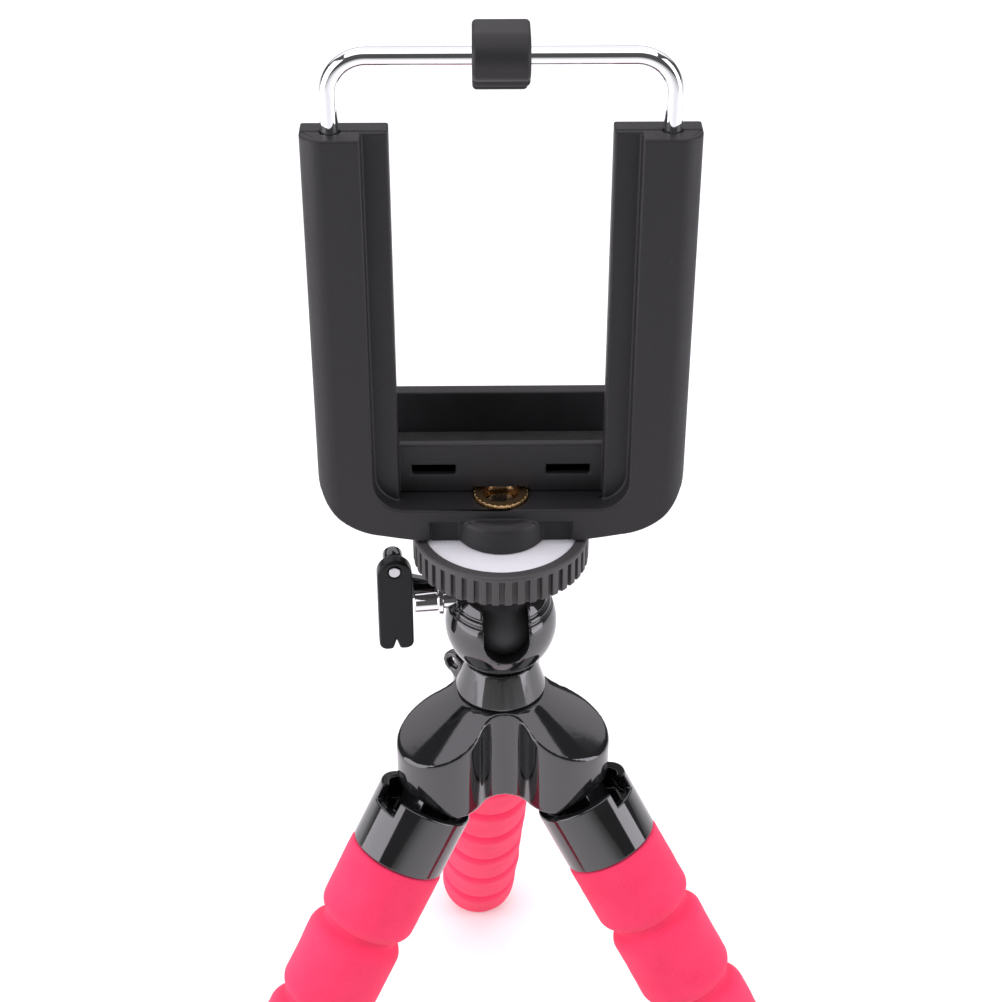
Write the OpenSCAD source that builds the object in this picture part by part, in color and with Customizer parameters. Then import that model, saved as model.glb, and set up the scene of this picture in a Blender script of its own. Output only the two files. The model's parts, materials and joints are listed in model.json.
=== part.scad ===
// Flexible leg tripod with a ball head and a spring clamp.
// Millimetres, Z up. The origin lies on the floor, on the axis of the hub.
// The clamp's arms face -Y, and what it holds rests against its +Y side.

/* [Legs] */
// Lean of each leg from vertical as the tripod stands
leg_lean = 31.5; // [15:0.5:38]
// Furthest lean that the hub's lobes leave room for
leg_lean_max = 40; // [39:0.5:46]
// Turn of the whole hub about its axis
hub_turn = 3; // [0:0.5:20]
// Distance of each hinge from the hub's axis
lobe_radius = 10.9; // [10.6:0.1:12]
// Radius of the foam bulges
foam_r = 7.7; // [7.4:0.1:8]
// Radius of the foam at the bottom of a groove
foam_neck_r = 6; // [5.6:0.1:6.1]
// Radius of the rounded shoulders beside a groove
foam_shoulder_r = 2.6; // [2.2:0.1:2.8]
// Half the width of a groove at its bottom
groove_half = 0.9; // [0.8:0.1:1.1]
// Distance from a hinge to the leg's first groove
first_groove = 30; // [28:0.5:32]
// Distance between grooves
groove_pitch = 15.2; // [14.6:0.1:17]
// Rounding of the foam at the foot
foot_round = 5; // [4:0.1:5.8]
// Depth by which the foam foot is pressed flat on the floor
foot_flat = 0.4; // [0.2:0.1:0.6]
// Radius of the bendable core wire
core_r = 1.5; // [1.2:0.1:1.8]

/* [Collars] */
// Outer radius of a collar
collar_r = 7.6; // [7.4:0.1:7.9]
// Distance from the hinge to the collar's open rim
collar_top = 6; // [6:0.1:6.4]
// Length of a collar
collar_len = 10.3; // [9.8:0.1:11.5]
// Wall of the collar
collar_wall = 1.4; // [1.2:0.1:1.7]
// Depth of the collar's open end
collar_cup = 4.2; // [3.6:0.1:4.4]
// Depth of the socket that holds the foam
foam_socket = 4; // [3.6:0.1:4.4]
// Width of the tongue that swings in a lobe
tongue_w = 5.4; // [4.8:0.1:5.8]
// Radius of the tongue's rounded end
tongue_r = 2.6; // [2.3:0.1:2.8]
// Radius of the round studs that the tongue turns on
stud_r = 1.5; // [1.2:0.1:1.7]
// Length of each stud beyond the tongue
stud_len = 1.6; // [1.2:0.1:1.8]
// Width of the notch in the collar's rim
notch_w = 5; // [4:0.1:6]
// Depth of the notch in the collar's rim
notch_d = 2.6; // [2:0.1:3]

/* [Hub] */
// Radius of a lobe
lobe_r = 7; // [6.8:0.1:7.2]
// Radius of the hollow between two lobes
valley_r = 4; // [3.6:0.1:4.6]
// Depth of the lobes below the hinges
lobe_drop = 5.5; // [5.3:0.1:5.6]
// Height of the hub's shoulder above the hinges
hub_rise = 11; // [10.6:0.1:12]
// Radius of the hub's flat shoulder under the neck
hub_shoulder_r = 7.1; // [7:0.1:7.4]
// Slope of the lobe tops
hub_slope = 30; // [26:0.5:32]
// Radius of the hollow under the hub
hub_hollow_r = 5.2; // [4.6:0.1:5.4]
// Height of the hollow's roof above the hinges
hub_hollow_rise = 4; // [3:0.1:5]
// Radius of the strap lug
lug_r = 2; // [1.9:0.1:2.2]
// Radius of the hole in the strap lug
lug_hole_r = 1; // [0.8:0.1:1.1]
// Thickness of the strap lug
lug_t = 1.5; // [1.3:0.1:1.8]
// Height of the lug's hole above the hub's shoulder
lug_rise = 0.3; // [0.2:0.1:0.8]
// Angle from the rear lobe to the strap lug
lug_turn = 48; // [46:1:60]

/* [Ball head] */
// Height of the neck cone
neck_h = 5.7; // [5.2:0.1:6.5]
// Radius of the neck cone's upper end
neck_top_r = 5.35; // [5:0.05:5.8]
// Radius of the neck cone's lower end
neck_foot_r = 6.9; // [6.4:0.1:6.9]
// Rounding of the neck cone's lower edge
neck_edge = 0.7; // [0.4:0.1:1]
// Radius of the cup's spigot inside the neck
spigot_r = 3.2; // [3:0.1:3.6]
// Length of the cup's spigot
spigot_len = 4.4; // [4:0.1:5]
// Radius of the neck screw
neck_screw_r = 1.8; // [1.5:0.1:2]
// Radius of the neck screw's head
neck_head_r = 3.4; // [3:0.1:3.8]
// Height of the neck screw's head
neck_head_h = 2; // [1.6:0.1:2.4]
// Outer radius of the ball cup
cup_r = 8.45; // [8.2:0.05:8.8]
// Height of the ball's centre above the neck
ball_rise = 7.1; // [7:0.1:7.6]
// Radius of the ball
ball_r = 6; // [5.8:0.1:6.2]
// Radius of the stem above the ball
stem_r = 2.6; // [2.4:0.1:2.7]
// Height of the stem from the ball's centre to the disc
stem_h = 11.9; // [11.6:0.1:13]
// Radius of the stem's flare under the disc
flare_r = 5.2; // [4.6:0.1:5.6]
// Radius of the pivot on top of the stem
pivot_r = 2.5; // [2.2:0.1:2.8]
// Length of the pivot
pivot_len = 2; // [1.6:0.1:2.2]
// Half angle of the cup's mouth
mouth_angle = 46; // [46:0.5:48]
// Tilt at which the stem reaches the end of the side slot
slot_tilt = 82; // [80:1:84]
// Width of the side slot
slot_w = 6.8; // [6.4:0.1:7.2]
// Turn of the cup's slot and lever about the axis
cup_turn = 6; // [0:1:12]
// Radius of the two fine rings round the cup
ring_r = 0.22; // [0.15:0.01:0.3]

/* [Lock lever] */
// Distance of the lever's pin from the axis
lever_x = 15.9; // [15.9:0.1:17]
// Height of the lever's pin above the ball's centre
lever_rise = 10.8; // [10.4:0.1:11]
// Width of the lever
lever_w = 5.2; // [4.8:0.1:5.2]
// Thickness of the lever
lever_t = 2.2; // [1.8:0.1:2.4]
// Length of the lever below its pin
lever_len = 14.3; // [12:0.1:16]
// Radius of the lever's pin
lever_pin_r = 0.85; // [0.7:0.05:0.9]
// Height of the pin above the middle of the lever's round end
pin_offset = 0.8; // [0.4:0.1:1]
// Thickness of the cup's ear beside the lever
ear_t = 1.4; // [1.2:0.1:1.8]
// Radius of the ear round the pin
ear_r = 1.5; // [1.5:0.1:1.8]
// Height of the plunger above the ball's centre
plunger_rise = 4.2; // [3.6:0.1:4.2]
// Radius of the plunger's chrome head
plunger_head_r = 1.5; // [1.3:0.1:1.5]
// Radius of the plunger's washer
plunger_washer_r = 2; // [1.8:0.1:2.2]
// Radius of the plunger's shank
plunger_r = 1.1; // [0.9:0.05:1.2]

/* [Mount disc] */
// Radius over the disc's ribs
disc_r = 12.95; // [12.4:0.05:12.95]
// Height of the disc
disc_h = 5; // [5:0.1:6]
// Number of ribs around the disc
disc_ribs = 44; // [32:1:52]
// Depth of the gaps between the ribs
rib_depth = 0.6; // [0.4:0.1:0.8]
// Width of the gaps between the ribs
rib_gap = 0.8; // [0.5:0.1:0.9]
// Height of the smooth rim above the ribs
rib_rim = 0.8; // [0.6:0.1:1.2]
// Radius of the face plate
plate_r = 11.3; // [10.8:0.1:11.4]
// Thickness of the face plate
plate_t = 0.8; // [0.6:0.1:0.9]
// Depth of the face plate below the disc's rim
plate_recess = 0.3; // [0.2:0.1:0.4]
// Radius of the camera screw, measured over its thread
screw_r = 2.6; // [2.4:0.05:2.8]
// Length of the camera screw above the face plate
screw_len = 5; // [4:0.1:6]
// Radius of the camera screw's head
screw_head_r = 4.6; // [4:0.1:5]
// Thickness of the camera screw's head
screw_head_h = 1; // [0.8:0.1:1.1]

/* [Clamp] */
// Width of the clamp over its arms
clamp_w = 52.4; // [51:0.2:56]
// Height of the arms above the lower jaw
arm_h = 53.6; // [52:0.2:55]
// Thickness of the clamp from back to front
clamp_t = 6.3; // [6.2:0.1:7]
// Distance of the clamp's front face from the tripod's axis
front_y = 2; // [2:0.1:2.4]
// Distance of the bail wire's plane behind the clamp's front face
wire_depth = 2.9; // [2.8:0.1:3.1]
// Width of each arm's raised outer part
arm_w = 8; // [7.6:0.1:8.4]
// Width of the recessed rail beside each arm
rail_w = 3.5; // [3:0.1:4]
// Depth of the rail below the arm's back face
rail_step = 2.6; // [2:0.1:2.7]
// Radius of the arms' rounded back edges
arm_round = 3.2; // [2.6:0.1:3.3]
// Radius of the frame's inner lower corners
inner_round = 4.5; // [3.5:0.1:6]
// Radius of the clamp's lower corners
corner_r = 10; // [8:0.5:12]
// Radius of the shallow arc along the clamp's lower edge
sag_r = 90; // [80:5:110]
// Height of the lower jaw above the face plate
seat_rise = 9.5; // [9.2:0.1:10.5]
// Depth of the shelf below the lower jaw
shelf_drop = 3.4; // [3.3:0.1:3.8]
// Height of the low wall above the lower jaw
wall_rise = 4.7; // [4:0.1:6]
// Thickness of the low wall
wall_t = 1.4; // [1.2:0.1:1.6]
// Radius of the boss round the insert
boss_r = 6.8; // [6.4:0.1:7.2]
// Height of the boss
boss_h = 4.6; // [4.4:0.1:5.4]
// Half the width of the flat foot under the clamp
foot_half = 10.3; // [9:0.1:10.6]
// Height of the recess above the flat foot
foot_h = 4; // [3.6:0.1:4.2]
// Depth of the recess above the flat foot
foot_recess = 1.2; // [0.8:0.1:1.6]
// Outer radius of the brass insert
insert_r = 3.95; // [3.8:0.05:4.1]
// Height of the insert above the shelf
insert_proud = 0.5; // [0.3:0.1:0.8]
// Number of grooves round the insert
insert_knurls = 28; // [20:1:32]

/* [Jaws and bail] */
// Reach of the jaws in front of the clamp
jaw_reach = 12.5; // [11.5:0.1:15]
// Width of the lower jaw
jaw_w = 36; // [30:0.5:40]
// Height of the lower jaw's lip above its pad
lip_h = 6.5; // [5:0.1:8]
// Thickness of the jaws' ledges and lips
jaw_t = 2.2; // [2:0.1:2.4]
// Thickness of the jaw pads
pad_t = 0.8; // [0.6:0.1:0.9]
// Length of each moulding window in the lower jaw
window_len = 6.3; // [5:0.1:8]
// Distance between the middles of the moulding windows
window_gap = 19.4; // [18:0.2:21]
// Reach of the moulding windows in front of the clamp
window_reach = 4.2; // [3.6:0.1:4.6]
// Radius of the bail wire
wire_r = 1.2; // [1:0.05:1.25]
// Distance between the centres of the bail's legs
bail_w = 44.4; // [43.8:0.2:45]
// Height of the bail's bar above the upper jaw's pad
bar_rise = 5.1; // [4.6:0.1:6]
// Radius of the bail's bends
bail_bend = 5; // [4:0.1:6]
// Opening of the jaws as the clamp stands
jaw_opening = 58.6; // [57.6:0.1:60]
// Width of the upper jaw
knuckle_w = 7.5; // [7:0.1:8]
// Radius of the upper jaw's knuckle
knuckle_r = 3.2; // [3:0.1:3.4]
// Depth of the upper jaw's lip
hook_lip = 5; // [4:0.1:6]
// Outer radius of the bail springs
spring_r = 2.1; // [2:0.05:2.1]
// Radius of the spring wire
spring_wire_r = 0.3; // [0.25:0.05:0.35]
// Number of turns in each spring
spring_turns = 15; // [10:1:18]
// Height of the bail's feet above the lower jaw
bail_foot_rise = 8; // [6:0.1:10]

/* [Hidden] */
$fn = 64;
// Clearances: round fits that turn or slide, fixed seats, and parts that pass each other freely
run_gap = 0.05;
seat_gap = 0.03;
free_gap = 0.3;
bulges = 7;
sides = ["left", "right", "rear"];
side_az = [210, 330, 90];
// Longer than any piece, for cuts that run right through
far = 80;

leg_len = first_groove + (bulges - 1) * groove_pitch;
foot_drop = (leg_len - foot_round) * cos(leg_lean) + (foam_r - foot_round) * sin(leg_lean) + foot_round;
hinge_z = foot_drop - foot_flat;
collar_end = collar_top + collar_len;
collar_web_top = collar_top + collar_cup;
collar_web_end = collar_end - foam_socket;
foam_spigot_r = collar_r - collar_wall - run_gap;
recess_r = foam_neck_r + free_gap;

neck_z = hinge_z + hub_rise;
neck_top_z = neck_z + neck_h;
hollow_z = hinge_z + hub_hollow_rise;
// The hollows cut a trace into the lobes, so that their walls cross and don't just touch
valley_bite = 0.05;
valley_radius = lobe_radius / 2 + sqrt(pow(lobe_r + valley_r - valley_bite, 2) - 0.75 * pow(lobe_radius, 2));
valley_floor = valley_radius - valley_r;

lug_radius = hub_shoulder_r + lug_r;

ball_z = neck_top_z + ball_rise;
cup_bore_r = ball_r + 0.1;
lever_face_x = lever_x - lever_w / 2;
ear_y = plunger_washer_r + free_gap;
plunger_tip_x = sqrt(pow(cup_bore_r, 2) - pow(plunger_rise - plunger_r, 2)) + free_gap / 2;

disc_z = ball_z + stem_h;
plate_z = disc_z + disc_h - plate_recess;
seat_z = plate_z + seat_rise;
shelf_z = seat_z - shelf_drop;
wall_z = seat_z + wall_rise;
insert_z = shelf_z + insert_proud;
arm_z = seat_z + arm_h;
back_y = front_y - clamp_t;
rail_y = back_y + rail_step;
wire_y = front_y - wire_depth;
arm_in = clamp_w / 2 - arm_w;
rail_in = arm_in - rail_w;
jaw_y = front_y + jaw_reach;
// The lower corners run a trace into the arc between them, so that the outlines cross
corner_bite = 0.05;
corner_x = clamp_w / 2 - corner_r;
corner_z = plate_z + sag_r - sqrt(pow(sag_r - corner_r, 2) - pow(corner_x, 2)) - corner_bite;
ledge_z = seat_z - pad_t - jaw_t;

hook_z = seat_z + jaw_opening + pad_t;
bar_z = seat_z + jaw_opening + bar_rise;
guide_h = 3;
flange_h = 1;
spring_bore_r = spring_r + 0.25;
bail_foot_z = seat_z + bail_foot_rise;
spring_foot_z = bail_foot_z + flange_h + spring_wire_r;
spring_top_z = arm_z - guide_h - spring_wire_r;

function groove_at(k) = first_groove + k * groove_pitch;
function lobe_az(i) = side_az[i] + hub_turn;
function polar(r, az) = [r * cos(az), r * sin(az)];

// Points along the middle of a spring's wire, and the least gap between points half a turn or more apart
spring_mid_r = spring_r - spring_wire_r;
spring_steps = 8 * spring_turns;
spring_mid = [for (j = [0 : spring_steps])
    concat(polar(spring_mid_r, 45 * j), (spring_top_z - spring_foot_z) * j / spring_steps)];
spring_gap = min([for (j = [0 : spring_steps - 4], k = [j + 4 : spring_steps])
    norm(spring_mid[k] - spring_mid[j])]) - 2 * spring_wire_r;
echo(spring_gap = spring_gap);

// Places its children at a lobe, with the hinge at the origin and X pointing outwards
module at_lobe(i) {
    rotate([0, 0, lobe_az(i)]) translate([lobe_radius, 0, hinge_z]) children();
}

// Places its children along a leg, with Z running from hinge to foot and -X on the outer side
module at_leg(i) {
    at_lobe(i) rotate([0, 180 - leg_lean, 0]) children();
}

// Places its children at the ball's centre, with -X towards the lever and -Y towards the slot
module at_ball() {
    translate([0, 0, ball_z]) rotate([0, 0, cup_turn]) children();
}

// A cylinder along Y, centred on the origin
module cross_rod(r, len) {
    rotate([90, 0, 0]) cylinder(r = r, h = len, center = true);
}

// A cylinder along X, centred on the origin
module side_rod(r, len) {
    rotate([0, 90, 0]) cylinder(r = r, h = len, center = true);
}

// A front view outline, X by Z, made solid from y0 to y1
module slab(y0, y1) {
    translate([0, y1, 0]) rotate([90, 0, 0]) linear_extrude(y1 - y0) children();
}

// A block from one corner to the opposite one
module block(low, high) {
    translate(low) cube(high - low);
}

// The hub, with three lobes that hold the legs and a hollow underside
module hub_body() {
    color([0.06, 0.06, 0.065]) difference() {
        union() {
            hub_lobes();
            strap_lug();
        }
        for (i = [0 : 2]) at_lobe(i) {
            tongue_sweep();
            cross_rod(stud_r + run_gap, tongue_w + 2 * stud_len + 2 * run_gap);
            rotate([0, 180 - leg_lean_max, 0]) translate([-far / 2, -far / 2, lobe_drop]) cube(far);
        }
        translate([0, 0, hollow_z - far]) cylinder(r = hub_hollow_r, h = far);
        translate([0, 0, hinge_z]) cylinder(r = neck_screw_r + run_gap, h = far);
    }
}

// Three round lobes joined by hollows, under a sloping top
module hub_lobes() {
    height = lobe_drop + hub_rise;
    outline = [for (i = [0 : 2]) each [polar(lobe_radius, lobe_az(0) + 120 * i),
                                       polar(valley_radius, lobe_az(0) + 120 * i + 60)]];
    difference() {
        translate([0, 0, hinge_z - lobe_drop]) {
            linear_extrude(height) polygon(outline);
            for (i = [0 : 2]) translate(polar(lobe_radius, lobe_az(i))) cylinder(r = lobe_r, h = height);
        }
        for (i = [0 : 2]) translate(polar(valley_radius, lobe_az(i) + 60))
            cylinder(r = valley_r, h = 4 * far);
        translate([0, 0, neck_z]) rotate_extrude() polygon([
            [hub_shoulder_r, 0], [far, (hub_shoulder_r - far) * tan(hub_slope)],
            [far, far], [hub_shoulder_r, far]]);
    }
}

// Upright ear for a wrist strap, standing out into the hollow between two lobes
module strap_lug() {
    root = valley_floor - 1;
    rotate([0, 0, lobe_az(2) + lug_turn]) translate([0, 0, neck_z]) slab(-lug_t / 2, lug_t / 2) difference() {
        union() {
            translate([lug_radius, lug_rise]) circle(lug_r);
            polygon([[root, -free_gap], [lug_radius, -free_gap],
                     [lug_radius + 0.6 * lug_r, lug_rise - 0.6 * lug_r], [root, -hub_rise / 2]]);
        }
        translate([lug_radius, lug_rise]) circle(lug_hole_r);
    }
}

// Room for a tongue in its lobe, from a hanging leg to the furthest lean
module tongue_sweep() {
    r = tongue_r + free_gap;
    c = cos(leg_lean_max);
    s = sin(leg_lean_max);
    reach = 2 * lobe_r;
    rotate([90, 0, 0]) linear_extrude(tongue_w + 2 * free_gap, center = true)
        polygon([[-r, r], [-r, -reach], [reach * s, -reach],
                 [reach * s + r * c, r * s - reach * c], [r * (1 - s) / c, r]]);
}

// Flared neck between hub and cup
module neck_cone() {
    color([0.07, 0.07, 0.075]) translate([0, 0, neck_z]) difference() {
        rotate_extrude() {
            polygon([[0, 0], [neck_foot_r - neck_edge, 0], [neck_foot_r - neck_edge, neck_edge],
                     [neck_foot_r, neck_edge], [neck_top_r, neck_h], [0, neck_h]]);
            translate([neck_foot_r - neck_edge, neck_edge]) intersection() {
                circle(neck_edge);
                translate([0, -neck_edge]) square(neck_edge);
            }
        }
        translate([0, 0, -1]) cylinder(r = neck_screw_r + run_gap, h = far);
        translate([0, 0, neck_h - spigot_len - free_gap]) cylinder(r = spigot_r + seat_gap, h = far);
    }
}

// Screw from the hub's hollow up into the cup's spigot
module neck_screw() {
    cross = 0.7;
    color([0.7, 0.7, 0.72]) difference() {
        union() {
            translate([0, 0, hollow_z - neck_head_h]) cylinder(r = neck_head_r, h = neck_head_h);
            translate([0, 0, hollow_z - 1]) cylinder(r = neck_screw_r, h = neck_top_z - hollow_z + 1);
        }
        for (a = [0, 90]) rotate([0, 0, a]) translate([0, 0, hollow_z - neck_head_h])
            cube([neck_head_r, cross, neck_head_h], center = true);
    }
}

// Round cup that holds the ball, with a mouth, a side slot, two fine rings and the lever's ear
module ball_cup() {
    color([0.06, 0.06, 0.065]) at_ball() difference() {
        union() {
            difference() {
                sphere(cup_r);
                translate([-far, -far, -2 * far - ball_rise]) cube(2 * far);
                for (z = [cup_r * 0.41, cup_r * 0.52]) translate([0, 0, z]) rotate_extrude()
                    translate([sqrt(pow(cup_r, 2) - z * z), 0]) circle(ring_r, $fn = 16);
            }
            translate([0, 0, -ball_rise - spigot_len]) cylinder(r = spigot_r, h = spigot_len + 0.5);
            lever_ear();
        }
        sphere(cup_bore_r);
        cylinder(r1 = 0, r2 = far * tan(mouth_angle), h = far);
        rotate([0, 0, -90]) {
            rotate([0, slot_tilt, 0]) cylinder(r = slot_w / 2, h = far);
            rotate([90, 0, 0]) linear_extrude(slot_w, center = true)
                polygon([[0, 0], [0, far], [far, far], [far * sin(slot_tilt), far * cos(slot_tilt)]]);
        }
        translate([-far / 2, 0, plunger_rise]) side_rod(plunger_r + run_gap, far);
        translate([0, 0, -ball_rise - far]) cylinder(r = neck_screw_r + run_gap, h = far + free_gap);
    }
}

// Ear that carries the lever's pin, on an arm beside the plunger
module lever_ear() {
    half = ear_r - 0.1;
    difference() {
        union() {
            slab(lever_t / 2 + free_gap, ear_y + ear_t) translate([-lever_x, lever_rise]) circle(ear_r);
            slab(ear_y, ear_y + ear_t) polygon([
                [-lever_x - half, lever_rise], [half - lever_x, lever_rise],
                [half - lever_x, 0.7 * lever_rise], [-ball_r, 0.8 * ball_r], [-ball_r, 0],
                [half - lever_x, 0.36 * lever_rise], [-lever_x - half, 0.6 * lever_rise]]);
        }
        translate([-lever_x, 0, lever_rise]) cross_rod(lever_pin_r + run_gap, far);
    }
}

// Ball with its stem, flare and pivot
module ball_stem() {
    color([0.1, 0.1, 0.105]) at_ball() {
        sphere(ball_r);
        cylinder(r = stem_r, h = stem_h);
        translate([0, 0, stem_h - 2.9]) cylinder(r1 = stem_r, r2 = flare_r, h = 2.4);
        translate([0, 0, stem_h - 0.5]) cylinder(r = flare_r, h = 0.5);
        cylinder(r = pivot_r, h = stem_h + pivot_len);
    }
}

// Lever that presses the plunger against the ball
module lock_lever() {
    r = lever_w / 2;
    toe = 1.2;
    color([0.05, 0.05, 0.055]) at_ball() translate([-lever_x, 0, lever_rise]) difference() {
        slab(-lever_t / 2, lever_t / 2) difference() {
            union() {
                translate([0, -pin_offset]) circle(r);
                translate([-r, toe - lever_len]) square([lever_w, lever_len - toe - pin_offset]);
                translate([toe - r, -lever_len]) square([lever_w - 2 * toe, 2 * toe]);
                for (s = [-1, 1]) translate([s * (r - toe), toe - lever_len]) circle(toe);
            }
            polygon([[-0.8, -lever_len - 1], [0.8, -lever_len - 1], [0, 1.8 - lever_len]]);
        }
        cross_rod(lever_pin_r + seat_gap, far);
    }
}

// Steel pin through lever and ear
module lever_pin() {
    color([0.75, 0.75, 0.77]) at_ball() translate([-lever_x, ear_y + ear_t, lever_rise]) rotate([90, 0, 0])
        cylinder(r = lever_pin_r, h = ear_y + ear_t + lever_t / 2 + 0.15);
}

// Chrome plunger between lever and ball
module lock_plunger() {
    head_x = lever_face_x - free_gap;
    washer_x = cup_r + free_gap;
    color([0.85, 0.85, 0.87]) at_ball() translate([0, 0, plunger_rise]) {
        translate([-head_x, 0, 0]) rotate([0, 90, 0]) cylinder(r = plunger_head_r, h = head_x - washer_x);
        translate([-washer_x - 0.8, 0, 0]) rotate([0, 90, 0]) cylinder(r = plunger_washer_r, h = 0.8);
        translate([-washer_x, 0, 0]) rotate([0, 90, 0]) cylinder(r = plunger_r, h = washer_x - plunger_tip_x);
    }
}

// Ribbed hand disc under the clamp
module mount_disc() {
    edge = 0.3;
    color([0.12, 0.12, 0.125]) translate([0, 0, disc_z]) difference() {
        rotate_extrude() polygon([
            [0, 0], [disc_r - edge, 0], [disc_r, edge],
            [disc_r, disc_h - edge], [disc_r - edge, disc_h], [0, disc_h]]);
        for (i = [1 : disc_ribs]) rotate([0, 0, i * 360 / disc_ribs])
            block([disc_r - rib_depth, -rib_gap / 2, -1], [disc_r + 1, rib_gap / 2, disc_h - rib_rim]);
        translate([0, 0, disc_h - plate_recess - plate_t]) cylinder(r = plate_r + seat_gap, h = far);
        translate([0, 0, disc_h - plate_recess - plate_t - screw_head_h])
            cylinder(r = screw_head_r + seat_gap, h = far);
        translate([0, 0, -1]) cylinder(r = pivot_r + run_gap, h = pivot_len + 1 + 2 * run_gap);
    }
}

// Turned metal plate that the clamp is tightened against
module face_plate() {
    color([0.85, 0.86, 0.9]) translate([0, 0, plate_z - plate_t]) difference() {
        cylinder(r = plate_r, h = plate_t);
        translate([0, 0, -1]) cylinder(r = screw_r + run_gap, h = plate_t + 2);
    }
}

// Camera screw, held by its head under the face plate
module camera_screw() {
    tip = 0.6;
    color([0.72, 0.72, 0.74]) translate([0, 0, plate_z - plate_t]) {
        translate([0, 0, -screw_head_h]) cylinder(r = screw_head_r, h = screw_head_h);
        cylinder(r = screw_r, h = plate_t + screw_len - tip);
        translate([0, 0, plate_t + screw_len - tip]) cylinder(r1 = screw_r, r2 = screw_r - tip, h = tip);
    }
}

// Outline of the clamp seen from behind, with round corners at the ends of a shallow arc
module clamp_outline() {
    half = clamp_w / 2;
    arc_x = corner_x * sag_r / (sag_r - corner_r);
    translate([-half, corner_z]) square([clamp_w, arm_z - corner_z]);
    for (s = [-1, 1]) translate([s * corner_x, corner_z]) circle(corner_r);
    intersection() {
        translate([0, plate_z + sag_r]) circle(sag_r, $fn = 180);
        translate([-arc_x, plate_z - 1]) square([2 * arc_x, corner_z - plate_z + 2]);
    }
}

// Opening between the arms, with round lower corners
module arm_window(half, round) {
    translate([-half, shelf_z + round]) square([2 * half, far]);
    translate([round - half, shelf_z]) square([2 * (half - round), 2 * round]);
    for (s = [-1, 1]) translate([s * (half - round), shelf_z + round]) circle(round);
}

// Rooms for the bail's legs, feet and springs
module bail_bores() {
    for (s = [-1, 1]) translate([s * bail_w / 2, wire_y, 0]) {
        translate([0, 0, bail_foot_z - free_gap])
            cylinder(r = spring_bore_r, h = arm_z - guide_h - bail_foot_z + free_gap);
        translate([0, 0, bail_foot_z]) cylinder(r = wire_r + run_gap, h = far);
    }
}

// Back half of the clamp, with the shelf and the boss for the insert
module clamp_rear_shell() {
    half = clamp_w / 2;
    boss_edge = 0.8;
    color([0.2, 0.195, 0.21]) difference() {
        union() {
            difference() {
                slab(back_y, wire_y) difference() {
                    clamp_outline();
                    arm_window(arm_in, inner_round);
                }
                block([-foot_half, back_y - 1, plate_z - 1],
                      [foot_half, back_y + foot_recess, plate_z + foot_h]);
            }
            slab(rail_y, wire_y) difference() {
                clamp_outline();
                translate([-rail_in, shelf_z]) square([2 * rail_in, far]);
            }
            slab(wire_y - 1, front_y) intersection() {
                clamp_outline();
                translate([-half, plate_z]) square([clamp_w, shelf_z - plate_z]);
            }
            block([-foot_half, back_y + foot_recess, plate_z], [foot_half, front_y, plate_z + foot_h + 1]);
            translate([0, 0, plate_z]) cylinder(r = boss_r, h = boss_h - boss_edge);
            translate([0, 0, plate_z + boss_h - boss_edge])
                cylinder(r1 = boss_r, r2 = boss_r - boss_edge, h = boss_edge);
        }
        for (s = [-1, 1]) translate([s * (half - arm_round), back_y + arm_round, 0]) difference() {
            translate([s > 0 ? 0 : -far, -far, 0]) cube([far, far, 4 * far]);
            cylinder(r = arm_round, h = 4 * far);
        }
        bail_bores();
        translate([0, 0, plate_z - 1]) cylinder(r = insert_r + seat_gap, h = far);
    }
}

// Front half of the clamp, with the low wall and the lower jaw
module clamp_front_shell() {
    color([0.13, 0.13, 0.14]) difference() {
        union() {
            slab(wire_y + seat_gap, front_y) difference() {
                clamp_outline();
                translate([-far, shelf_z - far + seat_gap]) square([2 * far, far]);
                translate([-rail_in, shelf_z - 1]) square([2 * rail_in, far]);
            }
            block([-rail_in - 1, front_y - wall_t, shelf_z + seat_gap], [rail_in + 1, front_y, wall_z]);
            block([-jaw_w / 2, front_y - wall_t, ledge_z], [jaw_w / 2, jaw_y, ledge_z + jaw_t]);
            block([-jaw_w / 2, jaw_y - jaw_t, ledge_z], [jaw_w / 2, jaw_y, seat_z + lip_h]);
        }
        bail_bores();
        translate([0, 0, shelf_z - 1]) cylinder(r = insert_r + free_gap, h = insert_proud + 1 + free_gap);
        for (s = [-1, 1]) {
            x = s * window_gap / 2;
            block([x - window_len / 2, front_y - 2 * wall_t, seat_z - 0.4],
                  [x + window_len / 2, front_y + 1, seat_z + 1.2]);
            block([x - window_len / 2, front_y, ledge_z - 1],
                  [x + window_len / 2, front_y + window_reach, seat_z]);
        }
    }
}

// Knurled brass insert that takes the camera screw
module brass_insert() {
    low = plate_z + free_gap;
    color([0.78, 0.6, 0.32]) difference() {
        translate([0, 0, low]) cylinder(r = insert_r, h = insert_z - low);
        translate([0, 0, low - 1]) cylinder(r = screw_r + run_gap, h = far);
        for (i = [1 : insert_knurls]) rotate([0, 0, i * 360 / insert_knurls])
            translate([insert_r + 0.05, 0, low - 1]) cylinder(r = 0.22, h = far, $fn = 16);
    }
}

// Soft pad on the lower jaw's ledge
module lower_jaw_pad() {
    color([0.09, 0.09, 0.09])
        block([2 - jaw_w / 2, front_y + window_reach + free_gap, ledge_z + jaw_t],
              [jaw_w / 2 - 2, jaw_y - jaw_t - free_gap, seat_z]);
}

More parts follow.
